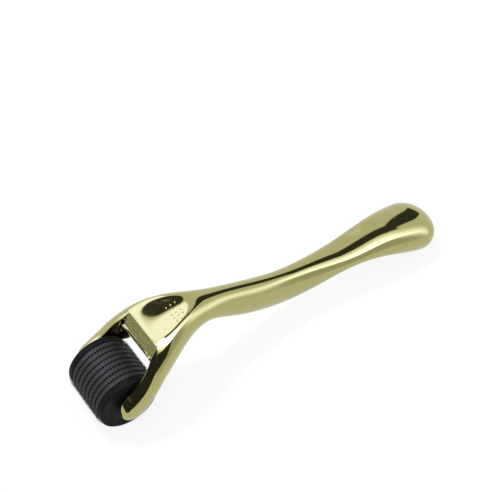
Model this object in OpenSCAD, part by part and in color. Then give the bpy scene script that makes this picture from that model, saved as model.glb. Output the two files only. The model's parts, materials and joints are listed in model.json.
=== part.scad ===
// Derma roller: a gold-plated fork handle with a free-turning roller of stacked needle discs.
// +X runs from the roller to the end of the grip, +Y along the axle, +Z up. Units are millimetres.
// The roller's needle tips and the underside of the bulb rest on z = 0.

/* [Roller] */
// Diameter over the needle tips
roller_diameter = 21.6; // [20:0.1:24]
// How far the needles stand out of the rings
needle_reach = 0.8; // [0.3:0.1:1.5]
// Needles on each disc
needles_per_disc = 60; // [24:12:72]
// Thickness of a needle disc
disc_thickness = 0.25; // [0.15:0.05:0.4]
// Distance from one needle disc to the next
disc_pitch = 1.95; // [1.6:0.05:2.1]
// Width of the flange of an end cap
cap_width = 2.1; // [1.9:0.1:2.6]
// Width across the flats of the spindle inside the roller
spindle_flats = 9; // [6:0.5:11]

/* [Axle] */
// Diameter of the stub axles on the end caps
axle_diameter = 3.0; // [2:0.1:3.2]
// Radial clearance between a stub axle and its bush
running_clearance = 0.05; // [0.03:0.01:0.1]
// Outer diameter of the bushes in the fork's tips
bush_diameter = 4.6; // [4.4:0.1:5]
// Length of a bush in the fork's tip
bush_length = 2.8; // [2:0.1:3.2]

/* [Fork] */
// Width inside the fork at the axle
fork_gap = 21.2; // [21:0.1:21.6]
// Width over the fork at the axle
fork_width = 31; // [30:0.5:33]
// Distance from the axle to the front edge of the bridge
bridge_front = 12.2; // [12:0.1:13]
// Width of the bridge's front edge
bridge_width = 16; // [14:0.5:17]
// Thickness of the bridge at its front edge
bridge_thickness = 4.5; // [3.5:0.1:5.5]
// Height of the middle of the fork's hump
hump_height = 26.0; // [25:0.1:27]
// Depth of the dish in the top of the yoke
dish_depth = 1.6; // [0.8:0.1:2]
// Diameter of one grip dot
dot_diameter = 0.6; // [0.4:0.1:0.8]

/* [Grip] */
// Distance from the axle to the end of the grip
grip_end = 123.8; // [118:0.1:128]
// Width of the grip just behind the yoke
neck_width = 11.0; // [10:0.1:12]
// Width of the grip's belly, where it is deepest
belly_width = 9.4; // [9:0.1:11]
// Height of the belly
belly_height = 12.5; // [11:0.1:13]
// Width of the flat waist before the bulb
waist_width = 12.4; // [11:0.1:13]
// Height of the waist
waist_height = 7.0; // [6.4:0.1:9]
// Width of the bulb at the end
bulb_width = 19.5; // [18:0.1:20]
// Height of the bulb's upper half
bulb_crown = 6.4; // [6:0.1:7.5]
// Height of the bulb's lower half, which rests on the table
bulb_keel = 8.0; // [7.6:0.05:8.05]
// Wall of the hollow grip
wall = 1.6; // [1.2:0.1:2]

/* [Hidden] */
DISCS = 9;
SPACERS = DISCS - 1;

gold = [0.80, 0.76, 0.50];
charcoal = [0.20, 0.19, 0.21];
steel = [0.45, 0.45, 0.47];
ivory = [0.85, 0.83, 0.76];

// Roller sizes that follow from the ones above
tip_radius = roller_diameter / 2;
ring_radius = tip_radius - needle_reach;
groove_radius = ring_radius - 0.45;
axle_height = tip_radius;
stack_half = (DISCS * disc_thickness + SPACERS * (disc_pitch - disc_thickness)) / 2;
spacer_width = disc_pitch - disc_thickness;
roller_half = stack_half + cap_width;
spindle_seat = 1.1;
key_clearance = 0.05;
shell_gap = 0.02;

// The origin is under the middle of the object's box
middle_x = (grip_end - tip_radius) / 2;

// Fork tips, measured from the axle
tip_reach = 4.6;
bulb_round = 9;

// Stations along the handle: distance from the axle, height of the widest level, half width,
// height above that level and height below it
STATIONS = [
    [-tip_reach, 11.6, fork_width / 2 - 0.6, 5.0, 5.0],
    [0, 12.2, fork_width / 2, 5.3, 5.3],
    [8, 17.9, fork_width / 2 - 1.1, 7.6, 7.6],
    [16, 23.4, fork_width / 2 - 3.7, 7.8, 7.8],
    [24, hump_height, 8.4, 6.4, 6.4],
    [33, hump_height - 1.1, neck_width / 2, 4.7, 4.7],
    [42, 20.5, belly_width / 2 + 0.05, belly_height / 2 - 0.35, belly_height / 2 - 0.35],
    [52, 16.2, belly_width / 2 + 0.15, belly_height / 2, belly_height / 2],
    [62, 13.1, belly_width / 2 - 0.1, belly_height / 2 - 0.05, belly_height / 2 - 0.05],
    [76, 12.0, waist_width / 2 - 1.1, waist_height / 2 + 1.5, waist_height / 2 + 1.5],
    [90, 12.4, waist_width / 2, waist_height / 2, waist_height / 2],
    [104, 11.1, bulb_width / 2 - 1.45, bulb_crown - 0.6, bulb_keel - 1.75],
    [115, 8.4, bulb_width / 2, bulb_crown, bulb_keel],
    [grip_end, 6.75, bulb_width / 2, bulb_crown, bulb_keel]
];
LAST = len(STATIONS) - 1;
OUTER_CORNERS = 28;
CAVITY_CORNERS = 20;

// Where the underside cover starts, and how low the joint line lies in the section
cover_start = 31;
parting_share = 0.35;
cavity_start = 35;
cavity_end = grip_end - 6;

// The top of the bridge's front edge, and the place where the arms' inner faces start to close in
bridge_top = hump_height + 1.8;
arm_bend = [8.6, 9.3];
arm_straight = 5.7;

// Value c of STATIONS at x, on a smooth cubic through the stations
function span_at(x, i = 0) = (i >= LAST - 1 || x < STATIONS[i + 1][0]) ? i : span_at(x, i + 1);
function rise(a, b, c) = (STATIONS[b][c] - STATIONS[a][c]) / (STATIONS[b][0] - STATIONS[a][0]);
function slope_at(i, c) = rise(max(i - 1, 0), min(i + 1, LAST), c);
function curve_at(x, c) =
    let (
        i = span_at(x),
        run = STATIONS[i + 1][0] - STATIONS[i][0],
        t = (x - STATIONS[i][0]) / run
    )
    (2 * pow(t, 3) - 3 * t * t + 1) * STATIONS[i][c]
    + (pow(t, 3) - 2 * t * t + t) * run * slope_at(i, c)
    + (3 * t * t - 2 * pow(t, 3)) * STATIONS[i + 1][c]
    + (pow(t, 3) - t * t) * run * slope_at(i + 1, c);

// The bulb closes as a quarter round over bulb_round, and the fork's tips close as a half round
function bulb_close(x) =
    let (k = max(0, (x - grip_end + bulb_round) / bulb_round))
    sqrt(max(0, 1 - pow(k, 2.2)));
function tip_close(x) = let (k = max(0, -x / tip_reach)) sqrt(max(0, 1 - k * k));
function middle_z(x) = curve_at(x, 1);
function half_width(x) = curve_at(x, 2) * bulb_close(x);
function crown(x) = curve_at(x, 3) * bulb_close(x) * tip_close(x);
function keel(x) = curve_at(x, 4) * bulb_close(x) * tip_close(x);

// Squareness of the section: fuller at the fork's tips, nearly round along the grip
function power_at(x) = x < 12 ? 3.2 - 0.8 * max(x, 0) / 12 : max(2.1, 2.4 - 0.3 * (x - 12) / 18);
function signed_power(v, p) = sign(v) * pow(abs(v), p);

// Slices are close together where the handle's ends close
slices = concat(
    [for (a = [6:14:76]) -tip_reach * cos(a)],
    [for (x = [0:3:grip_end - bulb_round]) x],
    [for (a = [8:11:85]) grip_end - bulb_round * (1 - sin(a))]
);

// The corners of the handle's section at x, taken in by inset on all sides
function section(x, inset, n) =
    let (w = half_width(x) - inset, up = crown(x) - inset, down = keel(x) - inset, p = 2 / power_at(x))
    [
        for (k = [0:n - 1])
            let (a = k * 360 / n)
                [w * signed_power(cos(a), p), (sin(a) > 0 ? up : down) * signed_power(sin(a), p)]
    ];

// A closed form along the handle between two distances from the axle: rings of n corners, skinned
module handle_form(from, to, inset = 0, n = OUTER_CORNERS) {
    within = [for (x = slices) if (x >= from && x <= to) x];
    rings = len(within);
    corners = [for (x = within) for (c = section(x, inset, n)) [x, c[0], middle_z(x) + c[1]]];
    skin = [
        for (r = [0:rings - 2])
            for (k = [0:n - 1])
                let (a = r * n + k, b = r * n + (k + 1) % n)
                    each [[a, a + n, b], [b, a + n, b + n]]
    ];
    polyhedron(
        points = corners,
        faces = concat(skin, [[for (k = [0:n - 1]) k]], [[for (k = [n - 1:-1:0]) (rings - 1) * n + k]])
    );
}

// The hollow inside the grip
module grip_cavity() {
    handle_form(cavity_start, cavity_end, wall, CAVITY_CORNERS);
}

// Everything below the joint line of the two shells, which lies under the widest part of the section
module below_parting(gap) {
    bends = [for (i = [1:len(slices) - 1]) slices[i - 1] + 0.3 * (slices[i] - slices[i - 1])];
    line = [
        for (x = bends) if (x > cover_start + 1) [x, middle_z(x) - parting_share * keel(x) + gap]
    ];
    translate([0, bulb_width, 0])
        rotate([90, 0, 0])
            linear_extrude(2 * bulb_width)
                polygon(concat(
                    [[cover_start - gap, -40], [cover_start - gap, line[0][1]]],
                    line,
                    [[grip_end + 20, line[len(line) - 1][1]], [grip_end + 20, -40]]
                ));
}

// The window in front of the bridge, with the room in which the roller turns
module fork_window() {
    side = fork_gap / 2 - 0.15;
    linear_extrude(60)
        polygon([
            [-20, -side], [arm_straight, -side], [arm_bend[0], -arm_bend[1]],
            [bridge_front, -bridge_width / 2], [bridge_front, bridge_width / 2],
            arm_bend, [arm_straight, side], [-20, side]
        ]);
    translate([0, fork_gap / 2, axle_height])
        rotate([90, 0, 0])
            cylinder(r = tip_radius + 0.8, h = fork_gap, $fn = 96);
}

// The underside of the yoke is hollowed, which leaves the bridge as a web between two cheeks
module yoke_hollow() {
    roof = bridge_top - bridge_thickness;
    cheek = bridge_width / 2 - 0.4;
    shoulder = bridge_front + 0.5;
    narrow = [25, 3.5];
    intersection() {
        translate([0, 20, 0])
            rotate([90, 0, 0])
                linear_extrude(40)
                    polygon([
                        [0, -1], [0, roof], [bridge_front, roof],
                        [20, roof], [narrow[0] + 1, roof - 5.5], [narrow[0] + 1, -1]
                    ]);
        linear_extrude(40)
            polygon([
                [1, -cheek], [shoulder, -cheek], [narrow[0], -narrow[1]],
                narrow, [shoulder, cheek], [1, cheek]
            ]);
    }
}

// The shallow dish in the yoke's top is the underside of a flat ellipsoid
DISH_SIZE = [13, 8.5, 4];
dish_middle = [20.5, 0, bridge_top + 4.4 - dish_depth + DISH_SIZE[2]];
function dish_z(x, y) =
    dish_middle[2] - DISH_SIZE[2]
    * sqrt(1 - pow((x - dish_middle[0]) / DISH_SIZE[0], 2) - pow(y / DISH_SIZE[1], 2));

module yoke_dish() {
    translate(dish_middle)
        scale(DISH_SIZE / 10)
            sphere(r = 10, $fn = 48);
}

// Grip dots in slanting rows on the dish
DOT_ROWS = 5;
DOTS_IN_ROW = 3;
FIRST_DOT = [21.5, 1.7];
ROW_STEP = [0, -1.6];
PLACE_STEP = [1.6, 0.1];
dot_height = 0.25;
dot_root = 0.5;
module grip_dots() {
    for (row = [0:DOT_ROWS - 1]) {
        for (place = [0:DOTS_IN_ROW - 1]) {
            at = FIRST_DOT + row * ROW_STEP + place * PLACE_STEP;
            translate([at[0], at[1], dish_z(at[0], at[1]) - dot_root])
                hull() {
                    cylinder(d = dot_diameter, h = dot_root, $fn = 8);
                    cylinder(d = dot_diameter / 2, h = dot_root + dot_height, $fn = 8);
                }
        }
    }
}

// The blind seats of the two bushes
module bush_seats() {
    for (side = [-1, 1]) {
        translate([0, side * (fork_gap / 2 + (bush_length + 0.05) / 2), axle_height])
            rotate([90, 0, 0])
                cylinder(d = bush_diameter + 0.1, h = bush_length + 0.15, center = true, $fn = 48);
    }
}

module upper_shell() {
    color(gold)
        translate([-middle_x, 0, 0])
            union() {
                difference() {
                    handle_form(-tip_reach, grip_end);
                    below_parting(shell_gap);
                    grip_cavity();
                    fork_window();
                    yoke_hollow();
                    yoke_dish();
                    bush_seats();
                }
                grip_dots();
            }
}

module lower_shell() {
    color(gold)
        translate([-middle_x, 0, 0])
            difference() {
                intersection() {
                    handle_form(cover_start - 3, grip_end);
                    below_parting(0);
                }
                grip_cavity();
            }
}

// A plain bush with a thin thrust flange on the roller's side; side is 1 for left (+Y), -1 for right
module axle_bush(side) {
    flange = 0.25;
    color(ivory)
        translate([-middle_x, side * (fork_gap / 2 - flange), axle_height])
            rotate([-90 * side, 0, 0])
                difference() {
                    union() {
                        cylinder(d = bush_diameter, h = bush_length + flange, $fn = 64);
                        cylinder(d = bush_diameter + 1.2, h = flange, $fn = 64);
                    }
                    translate([0, 0, -1])
                        cylinder(d = axle_diameter + 2 * running_clearance, h = bush_length + 3, $fn = 64);
                }
}

// A hexagonal prism of a given width across flats, along Y from y0 to y1
module hexagon_bar(flats, y0, y1) {
    translate([0, y1, 0])
        rotate([90, 0, 0])
            cylinder(d = flats / cos(30), h = y1 - y0, $fn = 6);
}

// A cylinder along Y from y0 to y1
module axial_cylinder(r, y0, y1) {
    translate([0, y1, 0])
        rotate([90, 0, 0])
            cylinder(r = r, h = y1 - y0, $fn = 96);
}

module core_spindle() {
    reach = stack_half + spindle_seat;
    color(ivory)
        translate([-middle_x, 0, axle_height])
            hexagon_bar(spindle_flats, -reach, reach);
}

// A flange with a rounded rim, a hexagonal seat for the spindle and a stub axle
module end_cap(side) {
    rim = 0.6;
    axle_reach = fork_gap / 2 + bush_length - 0.3;
    color(charcoal)
        translate([-middle_x, 0, axle_height])
            rotate([0, 0, side > 0 ? 0 : 180])
                difference() {
                    rotate([-90, 0, 0])
                        rotate_extrude($fn = 96)
                            polygon(concat(
                                [[0, stack_half], [ring_radius, stack_half]],
                                [for (a = [0:15:90]) [
                                    ring_radius - rim * (1 - cos(a)), roller_half - rim * (1 - sin(a))
                                ]],
                                [[axle_diameter / 2, roller_half],
                                 [axle_diameter / 2, axle_reach - 0.3],
                                 [axle_diameter / 2 - 0.3, axle_reach], [0, axle_reach]]
                            ));
                    hexagon_bar(
                        spindle_flats + 2 * key_clearance, stack_half - 1, stack_half + spindle_seat + 0.05
                    );
                }
}

// A thin disc with sharp teeth all round and a hexagonal hole
module needle_disc(i) {
    y = (i - (DISCS + 1) / 2) * disc_pitch;
    step = 360 / needles_per_disc;
    root = 1.0;
    point = 0.22;
    color(steel)
        translate([-middle_x, y + disc_thickness / 2, axle_height])
            rotate([90, 0, 0])
                linear_extrude(disc_thickness)
                    difference() {
                        polygon([
                            for (n = [0:needles_per_disc - 1])
                                for (corner = [
                                    [-root, groove_radius], [-point, tip_radius],
                                    [point, tip_radius], [root, groove_radius]
                                ])
                                    let (a = n * step + corner[0])
                                        [corner[1] * cos(a), corner[1] * sin(a)]
                        ]);
                        circle(d = (spindle_flats + 2 * key_clearance) / cos(30), $fn = 6);
                    }
}

// A ring between two needle discs, with bevelled edges that leave a groove at each disc
module spacer_ring(i) {
    y = (i - SPACERS / 2 - 0.5) * disc_pitch;
    half = spacer_width / 2;
    bevel = 0.3;
    color(charcoal)
        translate([-middle_x, y, axle_height])
            difference() {
                rotate([-90, 0, 0])
                    rotate_extrude($fn = 96)
                        polygon([
                            [0, -half], [ring_radius - bevel, -half], [ring_radius, bevel - half],
                            [ring_radius, half - bevel], [ring_radius - bevel, half], [0, half]
                        ]);
                hexagon_bar(spindle_flats + 2 * key_clearance, -disc_pitch, disc_pitch);
            }
}

upper_shell();
lower_shell();
axle_bush(1);  // left_axle_bush
axle_bush(-1);  // right_axle_bush
core_spindle();
end_cap(1);  // left_end_cap
end_cap(-1);  // right_end_cap
for (i = [1:DISCS]) needle_disc(i);
for (i = [1:SPACERS]) spacer_ring(i);
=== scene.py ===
"""Derma roller: the looks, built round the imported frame.

Everything is in metres in the frame's own axes: +X runs from the roller to the bulb end of the grip,
+Y along the roller's axle, +Z up. Handle shapes are worked out in millimetres measured from the axle
and moved to their place by `Frame.place`.
"""

from __future__ import annotations

import json
import logging
import math
from dataclasses import dataclass, field
from enum import Enum

import bpy
import numpy as np
from mathutils import Matrix, Vector

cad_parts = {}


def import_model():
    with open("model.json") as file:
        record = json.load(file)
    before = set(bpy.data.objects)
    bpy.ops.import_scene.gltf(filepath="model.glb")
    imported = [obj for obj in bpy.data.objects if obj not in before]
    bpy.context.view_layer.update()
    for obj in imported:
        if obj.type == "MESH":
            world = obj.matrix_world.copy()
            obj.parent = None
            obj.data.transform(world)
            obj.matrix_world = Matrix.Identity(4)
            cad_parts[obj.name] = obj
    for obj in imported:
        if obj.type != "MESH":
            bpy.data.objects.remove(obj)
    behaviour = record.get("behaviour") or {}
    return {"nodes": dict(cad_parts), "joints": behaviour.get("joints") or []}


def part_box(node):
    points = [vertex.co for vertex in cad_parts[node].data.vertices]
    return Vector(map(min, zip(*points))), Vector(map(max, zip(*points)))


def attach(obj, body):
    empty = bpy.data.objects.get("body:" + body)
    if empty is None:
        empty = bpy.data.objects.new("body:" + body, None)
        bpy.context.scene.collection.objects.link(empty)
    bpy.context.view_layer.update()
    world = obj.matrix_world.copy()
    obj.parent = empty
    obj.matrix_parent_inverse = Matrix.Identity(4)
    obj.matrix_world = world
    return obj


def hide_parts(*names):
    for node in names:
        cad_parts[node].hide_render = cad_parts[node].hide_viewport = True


LOG = logging.getLogger("derma_roller")
MM = 0.001
# Points that share a cell of this many millimetres are one, on the handle's cage and on a turned piece.
CAGE_WELD = 0.004
TURNED_WELD = 0.0004
# A length that stands in for none, in metres, so that nothing is divided by zero.
NO_LENGTH = 1e-6
Array = np.ndarray


class Body(Enum):
    """The two rigid bodies of the frame."""

    HANDLE = "handle"
    ROLLER = "roller"


class Slot(Enum):
    """The record's material slots."""

    GOLD = "gold_plate"
    BUSH = "bush_plastic"
    CAP = "cap_plastic"
    RING = "ring_plastic"
    STEEL = "needle_steel"


@dataclass(frozen=True)
class Frame:
    """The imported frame, and the axle that the shapes are measured from."""

    nodes: dict
    axle: Array

    @classmethod
    def load(cls) -> Frame:
        """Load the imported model.

        Returns:
            The frame with its nodes by name and the axle's place in metres.
        """
        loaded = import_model()
        return cls(nodes=loaded["nodes"], axle=np.array(loaded["joints"][0]["pos_m"], float))

    def place(self, points: Array) -> Array:
        """Move points from millimetres about the axle's foot on the table to metres in the frame.

        Args:
            points: rows of x from the axle, y along the axle and z above the table.

        Returns:
            The same rows in metres in the frame.
        """
        return points * MM + np.array([self.axle[0], 0.0, 0.0])


# ---------------------------------------------------------------------------------------------
# Mesh and curve helpers
# ---------------------------------------------------------------------------------------------


class NaturalSpline:
    """A natural cubic spline through a few stations: it keeps slope and curvature continuous."""

    def __init__(self, x: Array, y: Array) -> None:
        """Solve for the second derivatives at the stations.

        Args:
            x: rising station places.
            y: the value at each station.
        """
        self.x, self.y = np.asarray(x, float), np.asarray(y, float)
        n, h = len(self.x), np.diff(self.x)
        system, right = np.eye(n), np.zeros(n)
        inner = np.arange(1, n - 1)
        system[inner, inner - 1] = h[:-1]
        system[inner, inner] = 2 * (h[:-1] + h[1:])
        system[inner, inner + 1] = h[1:]
        right[inner] = 6 * (np.diff(self.y)[1:] / h[1:] - np.diff(self.y)[:-1] / h[:-1])
        self.bend = np.linalg.solve(system, right)

    def __call__(self, at: Array) -> Array:
        """Evaluate the spline; outside the stations it carries on with the end span's cubic."""
        at = np.asarray(at, float)
        i = np.clip(np.searchsorted(self.x, at, side="right") - 1, 0, len(self.x) - 2)
        h = self.x[i + 1] - self.x[i]
        a, b = (self.x[i + 1] - at) / h, (at - self.x[i]) / h
        curve = ((a**3 - a) * self.bend[i] + (b**3 - b) * self.bend[i + 1]) * h * h / 6
        return a * self.y[i] + b * self.y[i + 1] + curve


def smooth_step(low: float, high: float, at: Array) -> Array:
    """Ease from 0 below `low` to 1 above `high`, as 3t^2 - 2t^3."""
    t = np.clip((np.asarray(at, float) - low) / (high - low), 0, 1)
    return t * t * (3 - 2 * t)


def grid_quads(rows: int, columns: int, wrap: bool, start: int = 0) -> Array:
    """Number the quads of a grid of points laid out row by row.

    Args:
        rows: how many rows of points.
        columns: how many points in a row.
        wrap: whether the last point of a row joins the first.
        start: the number of the grid's first point.

    Returns:
        One row of four point numbers for each quad.
    """
    row = np.arange(rows - 1)[:, None] * columns
    column = np.arange(columns if wrap else columns - 1)[None, :]
    after = (column + 1) % columns
    quads = np.stack([row + column, row + after, row + columns + after, row + columns + column], -1)
    return quads.reshape(-1, 4) + start


def mesh_object(name: str, points: Array, faces: list, smooth: bool = True) -> bpy.types.Object:
    """Make a mesh object at the origin from points in metres and faces of any size.

    Args:
        name: the object's name.
        points: one row for each point.
        faces: lists or rows of point numbers.
        smooth: whether the faces shade smoothly.

    Returns:
        The linked object.
    """
    mesh = bpy.data.meshes.new(name)
    mesh.from_pydata(np.asarray(points, float).tolist(), [], [list(map(int, f)) for f in faces])
    mesh.polygons.foreach_set("use_smooth", [smooth] * len(mesh.polygons))
    mesh.update()
    made = bpy.data.objects.new(name, mesh)
    bpy.context.scene.collection.objects.link(made)
    return made


def weld(points: Array, faces: list, within: float) -> tuple[Array, list, Array, Array]:
    """Merge points that share a place, and drop repeated corners and faces left with fewer than three.

    Args:
        points: one row for each point.
        faces: rows of point numbers.
        within: the cell size in the points' own units that counts as the same place.

    Returns:
        The merged points, the faces numbered by them, each old point's new number, and for each old
        face whether it is kept.
    """
    keys = np.round(points / within).astype(np.int64)
    _, first, renamed = np.unique(keys, axis=0, return_index=True, return_inverse=True)
    renamed = renamed.reshape(-1)
    kept, stays = [], []
    for face in faces:
        corners = renamed[np.asarray(face, int)]
        corners = corners[corners != np.roll(corners, 1)]
        stays.append(len(set(corners.tolist())) > 2)
        if stays[-1]:
            kept.append(corners)
    return points[first], kept, renamed, np.array(stays)


def open_edges(quads: Array, count: int) -> tuple[Array, Array]:
    """Find the edges that no quad runs along the other way.

    Args:
        quads: rows of four point numbers.
        count: how many points there are.

    Returns:
        The point each such edge starts at and the point it ends at.
    """
    starts, ends = quads.reshape(-1), np.roll(quads, -1, 1).reshape(-1)
    alone = ~np.isin(starts * count + ends, ends * count + starts)
    return starts[alone], ends[alone]


def wall_across(places: Array, starts: Array, ends: Array) -> list:
    """Join each rim edge on the +Y side to its mirror image on the -Y side.

    Args:
        places: one row for each point; the rim is the same on both sides of the middle plane.
        starts: the point each rim edge starts at.
        ends: the point it ends at.

    Returns:
        The strips' point numbers, three where a strip meets the middle plane.
    """
    rim = np.unique(starts)
    mirrored = places[rim] * np.array([1, -1, 1])
    apart = np.linalg.norm(mirrored[:, None] - places[rim][None], axis=-1)
    partner = np.full(len(places), -1)
    partner[rim] = rim[apart.argmin(1)]
    near = places[starts, 1] + places[ends, 1] > 0
    a, b = starts[near], ends[near]
    strips = np.stack([b, a, partner[a], partner[b]], 1)
    return [strip[np.sort(np.unique(strip, return_index=True)[1])] for strip in strips]


# ---------------------------------------------------------------------------------------------
# The handle
# ---------------------------------------------------------------------------------------------


# How often an arm's edge is worked out again.
EDGE_ROUNDS = 12
# Control points of the handle's cage. A yoke ring starts at the +Y side's widest level: TOP quads lead
# to the ridge, ACROSS points run from ridge to ridge, SIDE_ROWS points go down a side, and point CHEEK
# is the -Y side's lower corner. The flat of the underside, again ACROSS points, ends ROOF_END points
# before the ring does. An arm ring has OUTER points round its outside. WALL_ROWS quads go down the
# bridge's front.
TOP = 4
ACROSS = 5
SIDE_ROWS = 3
CHEEK = 2 * TOP + ACROSS + SIDE_ROWS
ROOF_END = 6
OUTER = 9
WALL_ROWS = 4


@dataclass
class HandleShape:
    """The form of the fork handle, in millimetres from the axle.

    A station gives the height of a section's widest level, its half width, and how far it reaches
    above and below that level, and natural splines run through the stations. Each section is a
    superellipse. The top of the yoke is a dished face between two ridges, and a web, the bridge,
    joins two cheeks.
    """

    tip_reach: float = 4.6
    tip_middle: float = 13.0
    bridge_front: float = 12.2
    bridge_half: float = 8.0
    bridge_thickness: float = 3.8
    bridge_toe: float = 3.2
    front_hollow: float = 1.0
    lip_drop: float = 1.7
    fork_half_gap: float = 10.62
    fork_half_width: float = 15.5
    hump_height: float = 26.0
    grip_end: float = 123.8
    bulb_round: float = 9.0
    bulb_power: float = 2.2
    cover_start: float = 31.0
    dish_depth: float = 1.3
    axle_height: float = 10.8
    inner_ease_at: float = 16.0
    inner_ease_over: float = 1.0
    inner_limit: float = 0.96
    ridge_limit: float = 0.95
    neck: float = 33.0
    neck_angle: float = 60.0
    neck_power: float = 2.1
    middle: NaturalSpline = field(init=False)
    width: NaturalSpline = field(init=False)
    crown: NaturalSpline = field(init=False)
    keel: NaturalSpline = field(init=False)
    ridge: NaturalSpline = field(init=False)

    def __post_init__(self) -> None:
        """Run the splines through the stations: x, widest level, half width, reach above, reach below."""
        table = np.array([
            [-self.tip_reach, 11.6, self.fork_half_width - 0.6, 5.0, 5.0],
            [0, 12.2, self.fork_half_width, 5.3, 5.3],
            [8, 17.9, 14.4, 7.6, 7.6],
            [16, 23.4, 11.8, 7.8, 7.8],
            [24, self.hump_height, 8.4, 6.4, 6.4],
            [self.neck, 24.9, 5.5, 4.7, 4.7],
            [42, 20.5, 4.75, 5.9, 5.9],
            [52, 16.2, 4.85, 6.25, 6.25],
            [62, 13.1, 4.6, 6.2, 6.2],
            [76, 12.0, 5.1, 5.0, 5.0],
            [90, 12.4, 6.2, 3.5, 3.5],
            [104, 11.1, 8.3, 5.8, 6.25],
            [115, 8.4, 9.75, 6.4, 8.0],
            [self.grip_end, 6.75, 9.75, 6.4, 8.0],
        ]).T
        splines = [NaturalSpline(table[0], row) for row in table[1:]]
        self.middle, self.width, self.crown, self.keel = splines
        ridge_x = [self.bridge_front, 16, 20, 24, 28, self.neck]
        self.ridge = NaturalSpline(ridge_x, [self.bridge_half, 7.5, 6.5, 5.0, 3.6, 2.8])

    def close(self, x: Array) -> Array:
        """Share of the full section that is left where the bulb rounds off to its end."""
        k = np.clip((x - self.grip_end + self.bulb_round) / self.bulb_round, 0, 1)
        return np.sqrt(np.clip(1 - k**self.bulb_power, 0, 1))

    def tip(self, x: Array) -> Array:
        """Share of the full height that is left where a fork tip rounds off."""
        k = np.clip(-x / self.tip_reach, 0, 1)
        return np.sqrt(np.clip(1 - k * k, 0, 1))

    def power(self, x: Array) -> Array:
        """Squareness of the section: fuller at the fork's tips, nearly round along the grip."""
        return np.interp(x, [0, 12, 30], [3.2, 2.4, 2.1])

    def around(self, x: Array, angle: Array) -> Array:
        """Points of the outer superellipse: y = w |cos a|^(2/p), z = middle + h |sin a|^(2/p), signed.

        Args:
            x: distance from the axle of each point.
            angle: the superellipse angle of each point, in radians.

        Returns:
            The points, one row of x, y, z for each place in x.
        """
        c, s, p = np.cos(angle), np.sin(angle), 2 / self.power(x)
        w = self.width(x) * self.close(x)
        h = np.where(s > 0, self.crown(x), self.keel(x)) * self.close(x) * self.tip(x)
        y = w * np.sign(c) * np.abs(c) ** p
        z = self.middle(x) + h * np.sign(s) * np.abs(s) ** p
        return np.stack([x, y, z], -1)

    def angle_at(self, x: Array, y: Array) -> Array:
        """The superellipse angle at which the outer form has this y."""
        share = np.clip(np.abs(y) / self.width(x), 0, 1)
        return np.arccos(share ** (self.power(x) / 2))

    def inner_y(self, x: Array, z: Array) -> Array:
        """Where the inner face of a fork arm lies: clear of the roller, then easing in to the bridge."""
        away = np.hypot(x, z - self.axle_height)
        ease = 1 / (1 + np.exp((away - self.inner_ease_at) / self.inner_ease_over))
        return self.bridge_half + (self.fork_half_gap - self.bridge_half) * ease

    def inner_angle(self, x: Array, side: int) -> Array:
        """The section angle at which an arm's inner face meets its outside.

        Args:
            x: distance from the axle of each section.
            side: 1 for the top edge, -1 for the bottom edge.

        Returns:
            The angle of each edge, found by repeating: edge height, then the inner face's y there.
        """
        angle = np.full_like(x, side * 1.0)
        for _ in range(EDGE_ROUNDS):
            edge = self.around(x, angle)
            inner = np.minimum(self.inner_y(x, edge[:, 2]), self.inner_limit * self.width(x))
            angle = side * self.angle_at(x, inner)
        return angle

    def ridge_y(self, x: Array) -> Array:
        """Half width of the top face between the ridges, from the bridge back to the neck."""
        behind = self.width(x) * math.cos(math.radians(self.neck_angle)) ** (2 / self.neck_power)
        return np.where(x < self.neck, self.ridge(x), behind)

    def ridge_angle(self, x: Array) -> Array:
        """The section angle of the ridge."""
        return self.angle_at(x, np.minimum(self.ridge_y(x), self.ridge_limit * self.width(x)))


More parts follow.
